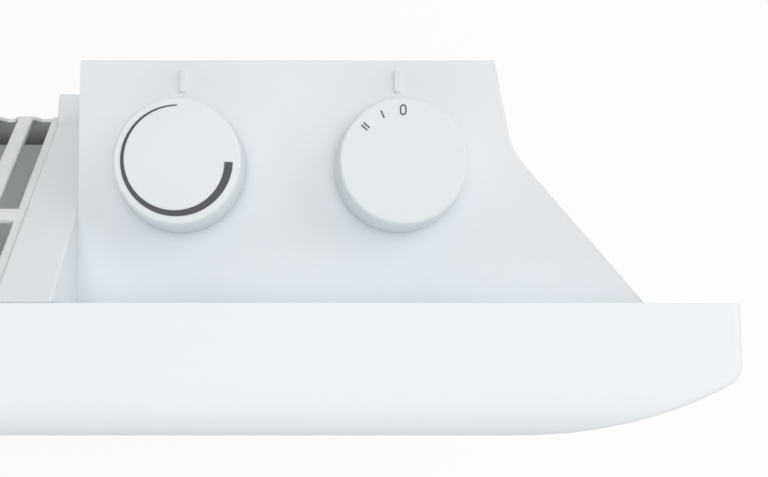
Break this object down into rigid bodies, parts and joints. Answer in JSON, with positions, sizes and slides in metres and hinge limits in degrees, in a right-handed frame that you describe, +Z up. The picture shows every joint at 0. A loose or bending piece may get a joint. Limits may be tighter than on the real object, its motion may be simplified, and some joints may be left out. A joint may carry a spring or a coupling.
{
  "type": "convector heater",
  "caption": "Free-standing electric convector with a crowned front panel, sloping outlet grille, two turning control knobs and two feet.",
  "frame": {"origin": "on the floor, midway across the width and midway between the fronts and backs of the feet", "axes": "+Z up, +X to the right for someone who stands in front, +Y towards the back; the front panel faces -Y"},
  "size_m": [0.64, 0.172, 0.413],
  "materials": {
    "white_enamel": "smooth white enamel, satin",
    "casing_enamel": "white powder coat with a fine texture",
    "zinc_sheet": "zinc-coated sheet",
    "deflector_sheet": "plain grey sheet",
    "spring_steel": "spring steel",
    "screw_steel": "bright zinc-plated steel",
    "dark_steel": "heat-darkened steel",
    "aluminium": "extruded, matt",
    "white_plastic": "fine moulded grain",
    "grille_plastic": "fine moulded grain",
    "knob_plastic": "satin moulded plastic",
    "cream_plastic": "phenolic moulding",
    "black_plastic": "black moulding",
    "ceramic": "glazed ceramic",
    "brass": "bright",
    "copper": "copper tube",
    "pad_rubber": "black rubber",
    "brown_insulation": "wire insulation",
    "blue_insulation": "wire insulation",
    "earth_insulation": "wire insulation",
    "print_grey": "printed ink"
  },
  "bodies": {
    "heater": {"front_panel": "white_enamel", "front_panel_clips": "spring_steel", "heat_shield": "zinc_sheet", "rear_casing": "casing_enamel", "right_housing": "white_plastic", "left_housing": "white_plastic", "right_cheek": "white_plastic", "left_cheek": "white_plastic", "outlet_grille": "grille_plastic", "air_deflector": "deflector_sheet", "heating_element": "aluminium", "heater_core": "dark_steel", "core_bushes": "ceramic", "core_terminals": "brass", "right_bracket": "zinc_sheet", "left_bracket": "zinc_sheet", "bracket_screws": "screw_steel", "thermal_cutout": "black_plastic", "thermostat_body": "cream_plastic", "thermostat_nut": "screw_steel", "thermostat_terminals": "brass", "sensing_bulb": "copper", "bulb_clips": "spring_steel", "switch_body": "black_plastic", "switch_nut": "screw_steel", "switch_terminals": "brass", "terminal_block": "cream_plastic", "terminal_screws": "brass", "tilt_switch": "black_plastic", "cord_gland": "black_plastic", "gland_nut": "black_plastic", "live_wires": "brown_insulation", "neutral_wire": "blue_insulation", "earth_wire": "earth_insulation", "guard_rods": "screw_steel", "left_foot": "white_plastic", "right_foot": "white_plastic", "foot_pads": "pad_rubber", "foot_screws": "screw_steel", "casing_screws": "screw_steel"},
    "thermostat_dial": {"thermostat_shaft": "dark_steel", "thermostat_knob": "knob_plastic", "thermostat_knob_spring": "spring_steel", "thermostat_scale": "print_grey"},
    "power_dial": {"switch_shaft": "dark_steel", "power_knob": "knob_plastic", "power_knob_spring": "spring_steel", "power_marks": "print_grey"}
  },
  "joints": [
    {"name": "thermostat_turn", "type": "hinge", "parent": "heater", "child": "thermostat_dial", "pos_m": [0.1679, 0.022, 0.3835], "axis": [0, 0, 1], "range_deg": [-268, 0]},
    {"name": "power_turn", "type": "hinge", "parent": "heater", "child": "power_dial", "pos_m": [0.2323, 0.022, 0.3835], "axis": [0, 0, 1], "range_deg": [-48, 0]}
  ]
}
